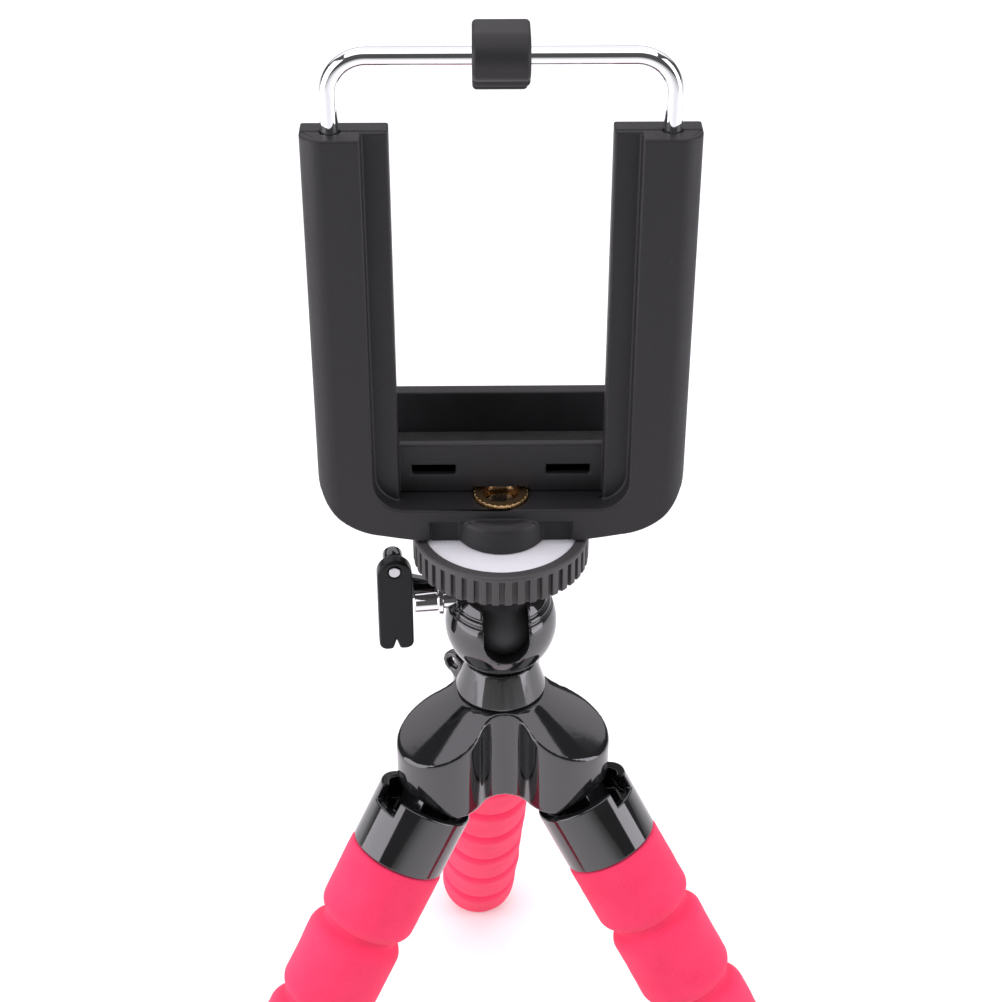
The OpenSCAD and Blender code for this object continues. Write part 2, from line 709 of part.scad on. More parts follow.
// A coil round Z from z0 to z1
module coil(radius, wire, turns, z0, z1) {
    rings = turns * 8;
    ribs = 6;
    function ring_at(j) = let (a = j * 45, z = z0 + (z1 - z0) * j / rings)
        [for (t = [0 : ribs - 1]) let (u = radius + wire * cos(t * 360 / ribs))
            [u * cos(a), u * sin(a), z + wire * sin(t * 360 / ribs)]];
    points = [for (j = [0 : rings]) each ring_at(j)];
    sides = [for (j = [0 : rings - 1], t = [0 : ribs - 1])
        let (a = j * ribs + t, b = j * ribs + (t + 1) % ribs)
            each [[a, a + ribs, b + ribs], [a, b + ribs, b]]];
    end = rings * ribs;
    caps = [for (t = [1 : ribs - 2]) each [[0, t, t + 1], [end, end + t + 1, end + t]]];
    polyhedron(points, concat(sides, caps));
}

// Spring round one leg of the bail, which draws it down
module bail_spring(s) {
    color([0.7, 0.7, 0.72]) translate([s * bail_w / 2, wire_y, 0])
        coil(spring_mid_r, spring_wire_r, spring_turns, spring_foot_z, spring_top_z);
}

// Chrome wire bail, with a flanged foot on each leg
module bail_wire() {
    leg_top = bar_z - bail_bend;
    color([0.88, 0.88, 0.9]) translate([0, wire_y, 0]) {
        for (s = [-1, 1]) translate([s * bail_w / 2, 0, 0]) {
            translate([0, 0, bail_foot_z]) cylinder(r = wire_r, h = leg_top - bail_foot_z);
            translate([0, 0, bail_foot_z]) cylinder(r = spring_r, h = flange_h);
        }
        translate([0, 0, bar_z]) side_rod(wire_r, bail_w - 2 * bail_bend);
        for (s = [0, 1]) mirror([s, 0, 0]) translate([bail_w / 2 - bail_bend, 0, leg_top]) rotate([90, 0, 0])
            rotate_extrude(angle = 90) translate([bail_bend, 0]) circle(wire_r, $fn = 32);
    }
}

// Upper jaw that turns on the bail's bar and hooks over what is held
module upper_jaw() {
    recess = 0.8;
    color([0.07, 0.07, 0.075]) difference() {
        union() {
            translate([0, wire_y, bar_z]) side_rod(knuckle_r, knuckle_w);
            block([-knuckle_w / 2, wire_y, hook_z], [knuckle_w / 2, front_y + 2, bar_z + knuckle_r]);
            block([-knuckle_w / 2, front_y, hook_z], [knuckle_w / 2, jaw_y, hook_z + jaw_t]);
            block([-knuckle_w / 2, jaw_y - jaw_t, hook_z - pad_t - hook_lip],
                  [knuckle_w / 2, jaw_y, hook_z + jaw_t]);
        }
        translate([0, wire_y, bar_z]) {
            side_rod(wire_r + run_gap, far);
            for (s = [-1, 1]) translate([s * knuckle_w / 2, 0, 0]) side_rod(wire_r + recess, 2 * recess);
        }
    }
}

// Soft pad under the upper jaw
module upper_jaw_pad() {
    color([0.09, 0.09, 0.09])
        block([1 - knuckle_w / 2, front_y + free_gap, hook_z - pad_t],
              [knuckle_w / 2 - 1, jaw_y - jaw_t - free_gap, hook_z]);
}

// Leg collar, with the tongue that swings in its lobe and a socket for the foam
module collar(i) {
    cup_wall_r = collar_r - collar_wall;
    color([0.06, 0.06, 0.065]) at_leg(i) {
        difference() {
            union() {
                translate([0, 0, collar_top]) cylinder(r = collar_r, h = collar_len);
            }
            translate([0, 0, collar_top - 1]) cylinder(r = cup_wall_r, h = collar_cup + 1);
            translate([0, 0, collar_web_end]) cylinder(r = cup_wall_r, h = far);
            cylinder(r = core_r + seat_gap, h = far);
            block([-far, -notch_w / 2, 0], [-tongue_r, notch_w / 2, collar_top + notch_d]);
        }
        difference() {
            union() {
                cross_rod(tongue_r, tongue_w);
                block([-tongue_r, -tongue_w / 2, 0], [tongue_r, tongue_w / 2, collar_web_top + 0.5]);
                cross_rod(stud_r, tongue_w + 2 * stud_len);
            }
            translate([0, 0, collar_web_top]) cylinder(r = core_r + seat_gap, h = far);
        }
    }
}

// Bendable wire from the collar to the foot
module core_wire(i) {
    end_wall = 4;
    color([0.6, 0.6, 0.62]) at_leg(i) translate([0, 0, collar_web_top + 0.5])
        cylinder(r = core_r, h = leg_len - end_wall - collar_web_top - 0.5);
}

// A round bar of foam from s0 to s1, with a rounding at each end
module foam_bar(s0, s1, round0, round1) {
    rotate_extrude() intersection() {
        union() {
            translate([0, s0]) square([foam_r - max(round0, round1), s1 - s0]);
            translate([0, s0 + round0]) square([foam_r, s1 - s0 - round0 - round1]);
            translate([0, s0]) square([foam_r - round0, round0]);
            translate([0, s1 - round1]) square([foam_r - round1, round1]);
            translate([foam_r - round0, s0 + round0]) circle(round0);
            translate([foam_r - round1, s1 - round1]) circle(round1);
        }
        translate([0, s0]) square([foam_r, s1 - s0]);
    }
}

// Bulge k of a foam sleeve, counted from 1: domed below, and hollowed above to take its neighbour's dome
module foam(i, k) {
    first = k == 1;
    last = k == bulges;
    s0 = first ? collar_end : groove_at(k - 2) + groove_half;
    s1 = last ? leg_len : groove_at(k - 1) - groove_half;
    color([1, 0.2, 0.37]) difference() {
        at_leg(i) difference() {
            union() {
                foam_bar(s0, s1, first ? 1 : foam_shoulder_r, last ? foot_round : foam_shoulder_r);
                if (!last) translate([0, 0, groove_at(k - 1)]) sphere(foam_neck_r);
                if (first) translate([0, 0, collar_web_end]) cylinder(r = foam_spigot_r, h = foam_socket + 2);
            }
            if (!first) translate([0, 0, groove_at(k - 2)]) sphere(recess_r);
            cylinder(r = core_r + run_gap, h = leg_len - 4 + free_gap);
        }
        translate([-4 * far, -4 * far, -far]) cube([8 * far, 8 * far, far]);
    }
}

hub_body();
neck_cone();
neck_screw();
ball_cup();
ball_stem();
lock_lever();
lever_pin();
lock_plunger();
mount_disc();
face_plate();
camera_screw();
clamp_rear_shell();
clamp_front_shell();
brass_insert();
lower_jaw_pad();
bail_spring(-1);  // left_spring
bail_spring(1);  // right_spring
bail_wire();
upper_jaw();
upper_jaw_pad();
for (i = [0 : 2]) {
    collar(i);
    core_wire(i);
    for (k = [1 : bulges]) foam(i, k);
}
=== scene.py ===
import json
import math

import bmesh
import bpy
from mathutils import Matrix, Vector, noise
from mathutils.bvhtree import BVHTree

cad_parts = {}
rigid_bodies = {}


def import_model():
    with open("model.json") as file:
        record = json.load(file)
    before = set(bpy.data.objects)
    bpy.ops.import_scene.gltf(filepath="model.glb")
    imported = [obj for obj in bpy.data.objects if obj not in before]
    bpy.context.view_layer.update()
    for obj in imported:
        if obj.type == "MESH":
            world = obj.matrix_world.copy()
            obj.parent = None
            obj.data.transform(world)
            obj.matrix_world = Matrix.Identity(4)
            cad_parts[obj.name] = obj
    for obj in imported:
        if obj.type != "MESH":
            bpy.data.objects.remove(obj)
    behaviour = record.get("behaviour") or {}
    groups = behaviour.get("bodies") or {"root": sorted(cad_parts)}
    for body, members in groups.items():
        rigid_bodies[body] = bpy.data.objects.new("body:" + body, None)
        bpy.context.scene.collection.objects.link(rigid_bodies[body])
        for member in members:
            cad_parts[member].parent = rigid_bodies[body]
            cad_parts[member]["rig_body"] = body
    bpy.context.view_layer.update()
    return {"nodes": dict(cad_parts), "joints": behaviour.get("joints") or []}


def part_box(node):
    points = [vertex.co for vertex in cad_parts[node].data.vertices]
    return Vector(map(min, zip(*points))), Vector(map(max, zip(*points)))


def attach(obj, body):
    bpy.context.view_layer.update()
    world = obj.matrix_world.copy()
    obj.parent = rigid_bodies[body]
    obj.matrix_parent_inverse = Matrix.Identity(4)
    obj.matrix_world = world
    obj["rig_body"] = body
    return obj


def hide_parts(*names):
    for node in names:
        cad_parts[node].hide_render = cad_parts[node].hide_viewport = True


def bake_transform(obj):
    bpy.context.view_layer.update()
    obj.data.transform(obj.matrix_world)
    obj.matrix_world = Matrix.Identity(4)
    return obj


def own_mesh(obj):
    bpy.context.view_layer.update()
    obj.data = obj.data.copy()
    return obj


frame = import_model()

# Hub: the three-lobed middle of the tripod, moulded in black ABS and left with the mould's polish.
# Each lobe takes one leg's tongue from below, and the lug for a wrist strap is moulded on behind.
MM = 0.001
HUB_GRAIN = 0.25 * MM
HUB_WASH = 14
CREASE = math.radians(32)
FLAT = math.radians(0.5)
MERGE = 0.012 * MM
SEAM = 1e-6
STRAY = 0.45
DUST_GREY = (0.16, 0.155, 0.15, 1)


class Shade:
    """A value in a material's node tree, so that shader maths reads as arithmetic."""

    def __init__(self, tree, socket=None):
        self.tree = tree
        self.socket = socket

    def make(self, kind, settings=None, inputs=None, output=0):
        node = self.tree.nodes.new("ShaderNode" + kind)
        for name, value in (settings or {}).items():
            if name == "stops":
                for element, (position, level) in zip(node.color_ramp.elements, value):
                    element.position = position
                    element.color = (level, level, level, 1)
            else:
                setattr(node, name, value)
        for name, value in (inputs or {}).items():
            self.feed(node.inputs[name], value)
        return Shade(self.tree, node.outputs[output])

    def feed(self, socket, value):
        if isinstance(value, Shade):
            self.tree.links.new(value.socket, socket)
        else:
            socket.default_value = value

    def sum(self, operation, a, b):
        return self.make("Math", {"operation": operation}, {0: a, 1: b})

    def __add__(self, other):
        return self.sum("ADD", self, other)

    def __sub__(self, other):
        return self.sum("SUBTRACT", self, other)

    def __rsub__(self, other):
        return self.sum("SUBTRACT", other, self)

    def __mul__(self, other):
        return self.sum("MULTIPLY", self, other)

    def __gt__(self, other):
        return self.sum("GREATER_THAN", self, other)

    __radd__ = __add__
    __rmul__ = __mul__

    def noise(self, place, size, detail=2.0):
        """Smooth noise about a half, with patches of about the size given."""
        return self.make("TexNoise", None, {"Vector": place, "Scale": 1 / size, "Detail": detail})

    def mix(self, share, a, b):
        """Colour a where share is 0, and colour b where it is 1."""
        return self.make("Mix", {"data_type": "RGBA"}, {0: share, 6: a, 7: b}, 2)


def start_finish(name, **fixed):
    """A new material with its fixed values set: material, shader inputs, a Shade and the place on the piece."""
    material = bpy.data.materials.new(name)
    material.use_nodes = True
    shader = material.node_tree.nodes["Principled BSDF"]
    for socket, value in fixed.items():
        shader.inputs[socket.replace("_", " ")].default_value = value
    pen = Shade(material.node_tree)
    return material, shader.inputs, pen, pen.make("TexCoord", output="Object")


def raise_grain(pen, height, depth):
    """A normal that follows the height, which goes from 0 to 1 over the depth given."""
    return pen.make("Bump", None, {"Height": height, "Distance": depth}, "Normal")


def moulded_plastic(name, colour, roughness, grain, depth, dust, shine=0.5):
    """Moulded black plastic: flow patches in the gloss, a fine skin from the mould, and a little dust."""
    material, sockets, pen, place = start_finish(name, Specular_IOR_Level=shine, IOR=1.5)
    flow = pen.noise(place, 9 * MM)
    skin = pen.noise(place, grain, 3.0)
    specks = pen.noise(place, 0.35 * MM) > 0.81
    pale = tuple(min(1, c * 1.7 + 0.004) for c in colour)
    body = pen.mix(flow, (*colour, 1), (*pale, 1))
    pen.feed(sockets["Base Color"], pen.mix(specks * dust, body, DUST_GREY))
    pen.feed(sockets["Roughness"], roughness * (1 + 0.6 * flow + 0.5 * skin) + 0.3 * dust * specks)
    pen.feed(sockets["Normal"], raise_grain(pen, skin, depth))
    return material


def new_piece(shell, name, body, material, slot, *stands_for):
    """Makes an object of the bmesh, in place, that moves with the body and stands for the nodes named."""
    for face in shell.faces:
        face.smooth = True
    mesh = bpy.data.meshes.new(name)
    shell.to_mesh(mesh)
    shell.free()
    mesh.materials.append(material)
    made = bpy.data.objects.new(name, mesh)
    bpy.context.scene.collection.objects.link(made)
    if stands_for:
        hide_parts(*stands_for)
    if body:
        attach(made, body)
    return made


def edge_rounded(node, radius, material, slot, steps=3):
    """The node's own form with its edges rounded as the mould leaves them."""
    source = frame["nodes"][node]
    shell = bmesh.new()
    shell.from_mesh(source.data)
    bmesh.ops.remove_doubles(shell, verts=shell.verts, dist=MERGE)
    bmesh.ops.dissolve_degenerate(shell, dist=MERGE, edges=shell.edges)
    skin = BVHTree.FromBMesh(shell)
    bmesh.ops.dissolve_limit(shell, angle_limit=FLAT, verts=shell.verts, edges=shell.edges)
    sharp = [edge for edge in shell.edges if edge.is_manifold and edge.calc_face_angle() > CREASE]
    bmesh.ops.bevel(shell, geom=sharp, offset=radius, offset_type="OFFSET", segments=steps, profile=0.5,
                    affect="EDGES", clamp_overlap=False, material=-1, loop_slide=False)
    for vert in shell.verts:
        near, _, _, gap = skin.find_nearest(vert.co)
        if gap > STRAY * radius:
            vert.co = near
    made = new_piece(shell, node + "_rounded", source["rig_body"], material, slot, node)
    made.modifiers.new("facing", "WEIGHTED_NORMAL").mode = "FACE_AREA_WITH_ANGLE"
    return made


def softened(node, grain, passes, material, slot):
    """The node's own form with every edge washed round, as on a thick moulding that is polished all over."""
    source = frame["nodes"][node]
    shell = bmesh.new()
    shell.from_mesh(source.data)
    bmesh.ops.remove_doubles(shell, verts=shell.verts, dist=SEAM)
    made = new_piece(shell, node + "_softened", source["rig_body"], material, slot, node)
    remesh = made.modifiers.new("even", "REMESH")
    remesh.mode = "VOXEL"
    remesh.voxel_size = grain
    remesh.use_smooth_shade = True
    wash = made.modifiers.new("wash", "SMOOTH")
    wash.factor = 0.5
    wash.iterations = passes
    return made


gloss_black = moulded_plastic("gloss_black", (0.005, 0.005, 0.0055), roughness=0.05, grain=1.1 * MM,
                              depth=0.003 * MM, dust=0.5, shine=1.0)
softened("hub_body", HUB_GRAIN, HUB_WASH, gloss_black, "gloss_black")

# Leg collars: a glossy black cup for each leg, with a rim notch and a tongue that snaps into its lobe.
# They are moulded like the hub, and each one grips the top of a foam sleeve.
COLLAR_EDGE = 0.3 * MM
SIDES = ("left", "right", "rear")
for side in SIDES:
    edge_rounded(side + "_collar", COLLAR_EDGE, gloss_black, "gloss_black")

# Legs: a bendable wire in a sleeve of closed-cell foam, dyed bright pink-red right through.
# Ring grooves are ground into the sleeve, so it is one piece that bends a little at each groove.
GROOVES = 6
FOAM_EDGE = 1.0 * MM
SHOULDER_ROUND = 2.35 * MM
GROOVE_REACH = 2.5 * MM
GROOVE_CREASE = 0.3 * MM
GROOVE_NECK = 0.45 * MM
FOOT_ROUND = 5.0 * MM
SPIGOT_STEP = 1.6 * MM
BEND_ZONE = 3.2 * MM
CORE_CLEAR = 2.0 * MM
SWELLS = ((130, 0.16 * MM), (420, 0.05 * MM))
WELD = 1e-7
RING = 72
STEP = 0.25 * MM
WIRE_RING = 16
WIRE_STEPS = 12
joints = {joint["name"]: joint for joint in frame["joints"]}


def foam_finish():
    """Foam: cut cells all over with painted shade in their pits, faint blotches of dye, and a soft sheen."""
    material, sockets, pen, place = start_finish("foam", Specular_IOR_Level=0.2, Sheen_Weight=0.08,
                                                 Sheen_Roughness=0.6)
    cells = pen.make("TexVoronoi", None, {"Vector": place, "Scale": 1 / (0.42 * MM)}, "Distance")
    fuzz = pen.noise(place, 0.16 * MM)
    blotch = pen.noise(place, 5 * MM)
    # Painted shade: the colour darkens towards a deeper red in the pits of the cut cells, where shade falls.
    painted_pit_shade = 1 - pen.make("MapRange", None, {"Value": cells, "From Min": 0.05, "From Max": 0.4})
    pit_shade_red = (0.52, 0.008, 0.045, 1)
    dyed = pen.mix(blotch, (0.86, 0.030, 0.105, 1), (0.95, 0.052, 0.145, 1))
    pen.feed(sockets["Base Color"], pen.mix(painted_pit_shade * 0.2, dyed, pit_shade_red))
    pen.feed(sockets["Roughness"], 0.72 + 0.2 * fuzz)
    pen.feed(sockets["Normal"], raise_grain(pen, cells * 0.7 + fuzz * 0.5, 0.035 * MM))
    return material


def steel_finish(name, colour, roughness):
    """Drawn or turned steel: faint streaks in the polish and a few fine scratches."""
    material, sockets, pen, place = start_finish(name, Metallic=1.0)
    streak = pen.make("Mapping", None, {"Vector": place, "Scale": (1, 1, 0.12)})
    worn = pen.noise(streak, 0.5 * MM, 3.0)
    dull = tuple(c * 0.8 for c in colour)
    pen.feed(sockets["Base Color"], pen.mix(worn, (*colour, 1), (*dull, 1)))
    pen.feed(sockets["Roughness"], roughness + 0.12 * worn)
    pen.feed(sockets["Normal"], raise_grain(pen, worn, 0.003 * MM))
    return material


def turned(profile, place, ring=RING):
    """A solid of revolution from (radius, height) pairs, turned about Z and then put in place."""
    shell = bmesh.new()
    line = [shell.verts.new((radius, 0, height)) for radius, height in profile]
    edges = [shell.edges.new(pair) for pair in zip(line, line[1:])]
    bmesh.ops.spin(shell, geom=line + edges, cent=(0, 0, 0), axis=(0, 0, 1), angle=math.tau, steps=ring,
                   use_merge=True)
    bmesh.ops.remove_doubles(shell, verts=shell.verts, dist=WELD)
    bmesh.ops.dissolve_degenerate(shell, dist=WELD, edges=shell.edges)
    bmesh.ops.recalc_face_normals(shell, faces=shell.faces)
    bmesh.ops.transform(shell, matrix=place, verts=shell.verts)
    return shell


def crease_edges(shell, angle=40):
    """Keeps the edges sharper than the angle crisp where the rest is shaded smooth."""
    for edge in shell.edges:
        edge.smooth = edge.calc_face_angle(0) < math.radians(angle)


class Leg:
    """One leg's line from its hinge to its foot, read from the joints, with distances along it."""

    def __init__(self, side):
        self.hinge = Vector(joints[side + "_leg_swing"]["pos_m"])
        bends = [Vector(joints[f"{side}_leg_bend_{k}"]["pos_m"]) for k in range(1, GROOVES + 1)]
        self.along = (bends[-1] - self.hinge).normalized()
        self.grooves = [(bend - self.hinge).length for bend in bends]
        self.place = Matrix.Translation(self.hinge) @ self.along.to_track_quat("Z", "Y").to_matrix().to_4x4()
        self.collar_end = self.far_end(side + "_collar")
        self.foam_start = self.near_end(side + "_foam_1")
        self.foot_end = self.far_end(f"{side}_foam_{GROOVES + 1}")
        self.foam_radius = max(self.off_axis(side + "_foam_2"))
        self.spigot_radius = self.foam_radius - SPIGOT_STEP

    def points(self, node):
        return [vertex.co - self.hinge for vertex in frame["nodes"][node].data.vertices]

    def near_end(self, node):
        return min(point.dot(self.along) for point in self.points(node))

    def far_end(self, node):
        return max(point.dot(self.along) for point in self.points(node))

    def off_axis(self, node):
        return [(point - self.along * point.dot(self.along)).length for point in self.points(node)]

    def at(self, distance):
        return self.hinge + self.along * distance

    def sleeve_radius(self, distance):
        """The sleeve's radius: full between the grooves, with a round shoulder down into each of them."""
        radius = self.foam_radius
        for groove in self.grooves:
            off_neck = max(0, abs(distance - groove) - GROOVE_NECK)
            over = GROOVE_REACH - math.hypot(off_neck, GROOVE_CREASE)
            if over > 0:
                radius -= SHOULDER_ROUND - math.sqrt(SHOULDER_ROUND ** 2 - over ** 2)
        middle = self.foot_end - FOOT_ROUND
        if distance > middle:
            over = min(1, (distance - middle) / FOOT_ROUND)
            radius -= FOOT_ROUND * (1 - math.sqrt(1 - over * over))
        top = distance - self.collar_end
        if top < 0:
            radius = self.spigot_radius
        elif top < FOAM_EDGE:
            radius -= FOAM_EDGE * (1 - math.sqrt(max(0, 1 - (1 - top / FOAM_EDGE) ** 2)))
        return radius


foam = foam_finish()
steel = steel_finish("steel", (0.56, 0.56, 0.58), 0.22)
for side in SIDES:
    leg = Leg(side)
    middles = [(a + b) / 2 for a, b in zip(leg.grooves, leg.grooves[1:])]
    cuts = [leg.foam_start, *middles, leg.foot_end]
    wire_ends = (leg.near_end(side + "_core_wire"), leg.far_end(side + "_core_wire"))
    wire_radius = max(leg.off_axis(side + "_core_wire"))
    for k, (start, end) in enumerate(zip(cuts, cuts[1:]), 1):
        bodies = (f"{side}_leg_{k}", f"{side}_leg_{k + 1}")
        groove = leg.grooves[k - 1]
        bend = (leg.at(groove - BEND_ZONE), leg.at(groove + BEND_ZONE))
        count = math.ceil((end - start) / STEP)
        stations = [start + (end - start) * i / count for i in range(count + 1)]
        profile = [(0, start)] + [(leg.sleeve_radius(s), s) for s in stations] + [(0, end)]
        sleeve = turned(profile, leg.place)
        for vertex in sleeve.verts:
            off = vertex.co - leg.at((vertex.co - leg.hinge).dot(leg.along))
            if off.length > CORE_CLEAR:
                swell = sum(noise.noise(vertex.co * pitch) * height for pitch, height in SWELLS)
                vertex.co += off.normalized() * swell
            vertex.co.z = max(vertex.co.z, 0)
        crease_edges(sleeve, 60)
        nodes = [f"{side}_foam_{k}"] + ([f"{side}_foam_{k + 1}"] if k == GROOVES else [])
        piece = new_piece(sleeve, f"{side}_sleeve_{k}", None, foam, "foam", *nodes)
        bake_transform(piece)

        low = max(start, wire_ends[0])
        high = min(end, wire_ends[1])
        stations = [low + (high - low) * i / WIRE_STEPS for i in range(WIRE_STEPS + 1)]
        wire = turned([(0, low)] + [(wire_radius, s) for s in stations] + [(0, high)], leg.place, WIRE_RING)
        crease_edges(wire)
        piece = new_piece(wire, f"{side}_wire_{k}", None, steel, "steel", side + "_core_wire")
        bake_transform(piece)

# Neck and its screw: a polished black cone that carries the ball's cup above the hub.
# One steel screw from the hub's hollow underside holds cone and cup on.
NECK_EDGE = 0.3 * MM
STEEL_EDGE = 0.12 * MM
edge_rounded("neck_cone", NECK_EDGE, gloss_black, "gloss_black")
edge_rounded("neck_screw", STEEL_EDGE, steel, "steel", 2)

# Ball head: a glossy cup with a side slot holds a satin ball, whose stem flares out under the disc.
# Both are moulded; two fine rings run round the cup under its mouth.
CUP_EDGE = 0.2 * MM
STEM_EDGE = 0.25 * MM
satin_black = moulded_plastic("satin_black", (0.020, 0.020, 0.021), roughness=0.36, grain=0.22 * MM,
                              depth=0.014 * MM, dust=0.8)
edge_rounded("ball_cup", CUP_EDGE, gloss_black, "gloss_black")
edge_rounded("ball_stem", STEM_EDGE, satin_black, "satin_black")

# Ball lock: a black lever turns on a riveted steel pin in the cup's ear.
# It presses a chromed plunger against the ball.
LEVER_EDGE = 0.4 * MM
PLUNGER_EDGE = 0.15 * MM


def chrome_finish():
    """Bright chrome plate: a mirror with faint polishing marks."""
    material, sockets, pen, place = start_finish("chrome", Metallic=1.0)
    marks = pen.noise(place, 0.3 * MM, 3.0)
    cloud = pen.noise(place, 4 * MM)
    pen.feed(sockets["Base Color"], pen.mix(cloud, (0.86, 0.865, 0.88, 1), (0.78, 0.785, 0.80, 1)))
    pen.feed(sockets["Roughness"], 0.04 + 0.05 * marks)
    pen.feed(sockets["Normal"], raise_grain(pen, marks, 0.0012 * MM))
    return material


chrome = chrome_finish()
lever_black = moulded_plastic("lever_black", (0.004, 0.004, 0.0045), roughness=0.2, grain=0.5 * MM,
                              depth=0.006 * MM, dust=0.6, shine=0.2)
edge_rounded("lock_lever", LEVER_EDGE, lever_black, "gloss_black")
edge_rounded("lever_pin", STEEL_EDGE, steel, "steel", 2)
edge_rounded("lock_plunger", PLUNGER_EDGE, chrome, "chrome", 2)

# Mount disc: a ribbed hand disc of matte black nylon that turns on the ball's stem.
# A turned metal plate is let into its face, and the camera screw stands up through both.
DISC_EDGE = 0.12 * MM
PLATE_EDGE = 0.1 * MM
RING_PITCH = 0.23 * MM
disc_black = moulded_plastic("disc_black", (0.038, 0.036, 0.036), roughness=0.36, grain=0.18 * MM,
                             depth=0.02 * MM, dust=1.0)
edge_rounded("mount_disc", DISC_EDGE, disc_black, "satin_black", 2)


def turned_face_finish():
    """A face turned on a lathe and blasted: fine rings round the axis, and a soft white shine."""
    material, sockets, pen, place = start_finish("turned_face", Metallic=0.1)
    flat = pen.make("VectorMath", {"operation": "MULTIPLY"}, {0: place, 1: (1, 1, 0)})
    radius = pen.make("VectorMath", {"operation": "LENGTH"}, {0: flat}, "Value")
    rings = pen.sum("SINE", radius * (math.tau / RING_PITCH), 0.0)
    uneven = pen.noise(place, 2.5 * MM)
    pen.feed(sockets["Base Color"], pen.mix(uneven, (0.93, 0.935, 0.96, 1), (0.87, 0.875, 0.91, 1)))
    pen.feed(sockets["Roughness"], 0.30 + 0.12 * uneven)
    pen.feed(sockets["Normal"], raise_grain(pen, rings * 0.5 + 0.5, 0.012 * MM))
    return material


turned_face = turned_face_finish()
edge_rounded("face_plate", PLATE_EDGE, turned_face, "face_plate", 2)
edge_rounded("camera_screw", STEEL_EDGE, steel, "steel", 2)

# Clamp: two matte black shells, screwed together along the arms, with a knurled brass insert below.
# The back one carries the shelf and the boss, and the front one the low wall and the lower jaw.
REAR_SHELL_EDGE = 0.35 * MM
FRONT_SHELL_EDGE = 0.3 * MM
INSERT_EDGE = 0.08 * MM
PAD_EDGE = 0.2 * MM
clamp_black = moulded_plastic("clamp_black", (0.007, 0.0065, 0.0072), roughness=0.36, grain=0.3 * MM,
                              depth=0.016 * MM, dust=0.8, shine=0.42)
edge_rounded("clamp_rear_shell", REAR_SHELL_EDGE, clamp_black, "clamp_black")
edge_rounded("clamp_front_shell", FRONT_SHELL_EDGE, clamp_black, "clamp_black")


def brass_finish():
    """Turned brass, a little tarnished in its knurls."""
    material, sockets, pen, place = start_finish("brass", Metallic=1.0)
    stain = pen.noise(place, 0.6 * MM, 3.0)
    pen.feed(sockets["Base Color"], pen.mix(stain, (0.80, 0.56, 0.28, 1), (0.42, 0.24, 0.10, 1)))
    pen.feed(sockets["Roughness"], 0.2 + 0.2 * stain)
    pen.feed(sockets["Normal"], raise_grain(pen, stain, 0.01 * MM))
    return material


def rubber_finish():
    """Soft black rubber with a pebbled face."""
    material, sockets, pen, place = start_finish("pad_rubber", Specular_IOR_Level=0.3)
    pebbles = pen.make("TexVoronoi", None, {"Vector": place, "Scale": 1 / (0.7 * MM)}, "Distance")
    worn = pen.noise(place, 3 * MM)
    pen.feed(sockets["Base Color"], pen.mix(worn, (0.016, 0.016, 0.016, 1), (0.035, 0.034, 0.033, 1)))
    pen.feed(sockets["Roughness"], 0.62 + 0.2 * worn)
    pen.feed(sockets["Normal"], raise_grain(pen, 1 - pebbles, 0.08 * MM))
    return material


brass = brass_finish()
pad_rubber = rubber_finish()
edge_rounded("brass_insert", INSERT_EDGE, brass, "brass", 2)
edge_rounded("lower_jaw_pad", PAD_EDGE, pad_rubber, "pad")

# Bail: a bent chrome wire whose legs run down into the arms, where a spring round each draws it down.
# The springs are trapped between the wire's flanged feet and the tops of their bores.
SPRING_TURNS = 15
SPRING_WIRE = 0.3 * MM
SPRING_SIDES = 10
SPRING_STEPS = SPRING_TURNS * 24
WIRE_RADIUS = 1.2 * MM
WIRE_SIDES = 32
BAIL_BEND = 5.0 * MM
BEND_STEPS = 16
FOOT_THICK = 1.0 * MM
for side in ("left", "right"):
    low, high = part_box(side + "_spring")
    middle = (low + high) / 2
    coil = bmesh.new()
    rise = high.z - low.z - 2 * SPRING_WIRE
    start = Vector(((high.x - low.x) / 2 - SPRING_WIRE, 0, 0))
    bmesh.ops.create_circle(coil, cap_ends=True, segments=SPRING_SIDES, radius=SPRING_WIRE,
                            matrix=Matrix.Translation(start) @ Matrix.Rotation(math.pi / 2, 4, "X"))
    bmesh.ops.spin(coil, geom=coil.verts[:] + coil.edges[:] + coil.faces[:], cent=(0, 0, 0), axis=(0, 0, 1),
                   dvec=(0, 0, rise / SPRING_STEPS), angle=math.tau * SPRING_TURNS, steps=SPRING_STEPS)
    bmesh.ops.remove_doubles(coil, verts=coil.verts, dist=WELD)
    bmesh.ops.recalc_face_normals(coil, faces=coil.faces)
    bmesh.ops.translate(coil, verts=coil.verts, vec=(middle.x, middle.y, low.z + SPRING_WIRE))
    piece = new_piece(coil, side + "_coil", "clamp", steel, "steel", side + "_spring")
    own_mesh(piece)


def ring_pulled(shell, ring, shift, scale=1.0):
    """Extrudes an open ring of edges along the shift, scaled about its middle, and gives the new ring."""
    made = bmesh.ops.extrude_edge_only(shell, edges=ring)["geom"]
    verts = [part for part in made if isinstance(part, bmesh.types.BMVert)]
    middle = sum((vert.co for vert in verts), Vector()) / len(verts)
    bmesh.ops.scale(shell, verts=verts, vec=(scale, scale, 1), space=Matrix.Translation(-middle))
    bmesh.ops.translate(shell, verts=verts, vec=shift)
    return [part for part in made if isinstance(part, bmesh.types.BMEdge)]


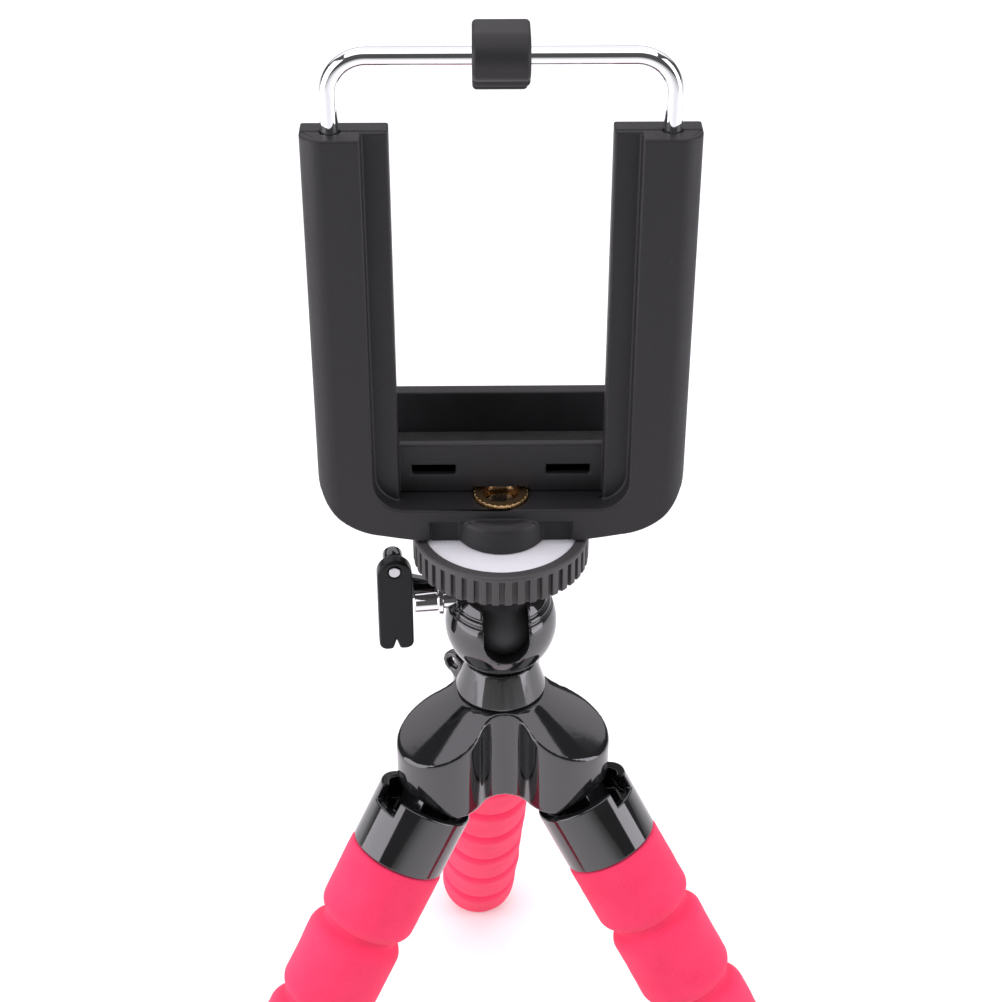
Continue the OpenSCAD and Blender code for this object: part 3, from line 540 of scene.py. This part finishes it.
low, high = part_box("bail_wire")
foot_radius = (high.y - low.y) / 2
leg_x = high.x - foot_radius
wire_y = (low.y + high.y) / 2
bend_z = high.z - WIRE_RADIUS - BAIL_BEND
wire = bmesh.new()
foot = bmesh.ops.create_circle(wire, cap_ends=True, segments=WIRE_SIDES, radius=foot_radius,
                               matrix=Matrix.Translation((leg_x, wire_y, low.z)))
ring = ring_pulled(wire, foot["verts"][0].link_faces[0].edges[:], (0, 0, FOOT_THICK))
ring = ring_pulled(wire, ring, (0, 0, 0), WIRE_RADIUS / foot_radius)
ring = ring_pulled(wire, ring, (0, 0, bend_z - low.z - FOOT_THICK))
bend = bmesh.ops.spin(wire, geom=list({vert for edge in ring for vert in edge.verts}) + ring, axis=(0, -1, 0),
                      cent=(leg_x - BAIL_BEND, wire_y, bend_z), angle=math.pi / 2, steps=BEND_STEPS)
ring = [part for part in bend["geom_last"] if isinstance(part, bmesh.types.BMEdge)]
ring_pulled(wire, ring, (BAIL_BEND - leg_x, 0, 0))
bmesh.ops.mirror(wire, geom=wire.verts[:] + wire.edges[:] + wire.faces[:], merge_dist=SEAM, axis="X")
bmesh.ops.recalc_face_normals(wire, faces=wire.faces)
crease_edges(wire)
new_piece(wire, "bail_wire_bent", "bail", chrome, "chrome", "bail_wire")

# Upper jaw: a black hook that turns on the bail's bar, moulded like the clamp.
# A rubber pad is stuck on under it, behind the hook's lip.
JAW_EDGE = 0.6 * MM
edge_rounded("upper_jaw", JAW_EDGE, clamp_black, "clamp_black", 4)
edge_rounded("upper_jaw_pad", PAD_EDGE, pad_rubber, "pad")

# Studio: a white table under large soft lamps, seen from above the back of the clamp.
# The camera stands where the photograph was taken, at its viewing angle.
CAMERA_AT = Vector((-3.3, -244.5, 313.35)) * MM
CAMERA_PITCH = math.radians(33.68)
CAMERA_YAW = math.radians(-0.776)
CAMERA_ROLL = math.radians(0.05)
CAMERA_LENS = 72.5
CAMERA_NEAR = 0.01
FLOOR_SIZE = 6.0
FLOOR_LIFT = 0.2
SWEEP_START = 0.35
SWEEP_END = 1.4
SKY_LEVEL = 0.22
SKY_IN_GLOSS = 0.09
LAMP_TINT = (1.0, 0.96, 1.03)
CLAMP_MIDDLE = (0, 0, 0.18)


def table_finish():
    """A white table that stays white to the camera and keeps the shadows."""
    material, sockets, pen, place = start_finish("table", Roughness=0.9, Specular_IOR_Level=0.1)
    cloud = pen.noise(place, 400 * MM)
    pen.feed(sockets["Base Color"], pen.mix(cloud, (0.86, 0.86, 0.86, 1), (0.89, 0.89, 0.89, 1)))
    seen = pen.make("LightPath", output="Is Camera Ray")
    shown = seen
    for ray in ("Is Glossy Ray", "Is Transmission Ray"):
        shown = pen.sum("MAXIMUM", shown, pen.make("LightPath", output=ray))
    away = pen.make("VectorMath", {"operation": "LENGTH"}, {0: place}, "Value")
    sweep = pen.make("MapRange", {"interpolation_type": "SMOOTHSTEP"},
                     {"Value": away, "From Min": SWEEP_START, "From Max": SWEEP_END})
    pen.feed(sockets["Emission Color"], pen.mix(shown * FLOOR_LIFT + seen * sweep, (0, 0, 0, 1), (1, 1, 1, 1)))
    sockets["Emission Strength"].default_value = 1.0
    return material


table = bmesh.new()
bmesh.ops.create_grid(table, x_segments=1, y_segments=1, size=FLOOR_SIZE / 2)
floor_mesh = bpy.data.meshes.new("table")
table.to_mesh(floor_mesh)
table.free()
floor_mesh.materials.append(table_finish())
floor = bpy.data.objects.new("table", floor_mesh)
bpy.context.scene.collection.objects.link(floor)

world = bpy.data.worlds.new("studio")
bpy.context.scene.world = world
world.use_nodes = True
sky = Shade(world.node_tree)
glow = world.node_tree.nodes["Background"].inputs
glow["Color"].default_value = (1, 1, 1, 1)
to_camera = sky.make("LightPath", output="Is Camera Ray")
to_gloss = sky.make("LightPath", output="Is Glossy Ray")
sky.feed(glow["Strength"], SKY_LEVEL + (1 - SKY_LEVEL) * to_camera - (SKY_LEVEL - SKY_IN_GLOSS) * to_gloss)


def soft_lamp(name, at, aim, width, height, power):
    """A large rectangular softbox."""
    lamp = bpy.data.lights.new(name, "AREA")
    lamp.shape = "RECTANGLE"
    lamp.size = width
    lamp.size_y = height
    lamp.energy = power
    lamp.color = LAMP_TINT
    holder = bpy.data.objects.new(name, lamp)
    holder.matrix_world = (Matrix.Translation(at)
                           @ (Vector(aim) - Vector(at)).to_track_quat("-Z", "Y").to_matrix().to_4x4())
    bpy.context.scene.collection.objects.link(holder)


soft_lamp("left_softbox", (-0.56, -0.18, 0.30), CLAMP_MIDDLE, 0.62, 0.6, 3.5)
soft_lamp("right_softbox", (0.56, -0.16, 0.30), CLAMP_MIDDLE, 0.34, 0.6, 2.2)
soft_lamp("top_softbox", (0, -0.12, 1.0), (0, 0, 0.1), 1.3, 1.0, 6.5)
soft_lamp("back_softbox", (0, 0.72, 0.76), (0, 0, 0.115), 1.9, 0.9, 6.0)

view = bpy.data.cameras.new("camera")
view.lens = CAMERA_LENS
view.clip_start = CAMERA_NEAR
camera = bpy.data.objects.new("camera", view)
camera.matrix_world = (Matrix.Translation(CAMERA_AT)
                       @ Matrix.Rotation(CAMERA_YAW, 4, "Z")
                       @ Matrix.Rotation(math.pi / 2 - CAMERA_PITCH, 4, "X")
                       @ Matrix.Rotation(CAMERA_ROLL, 4, "Z"))
bpy.context.scene.collection.objects.link(camera)
bpy.context.scene.camera = camera
bpy.context.scene.view_settings.view_transform = "Standard"
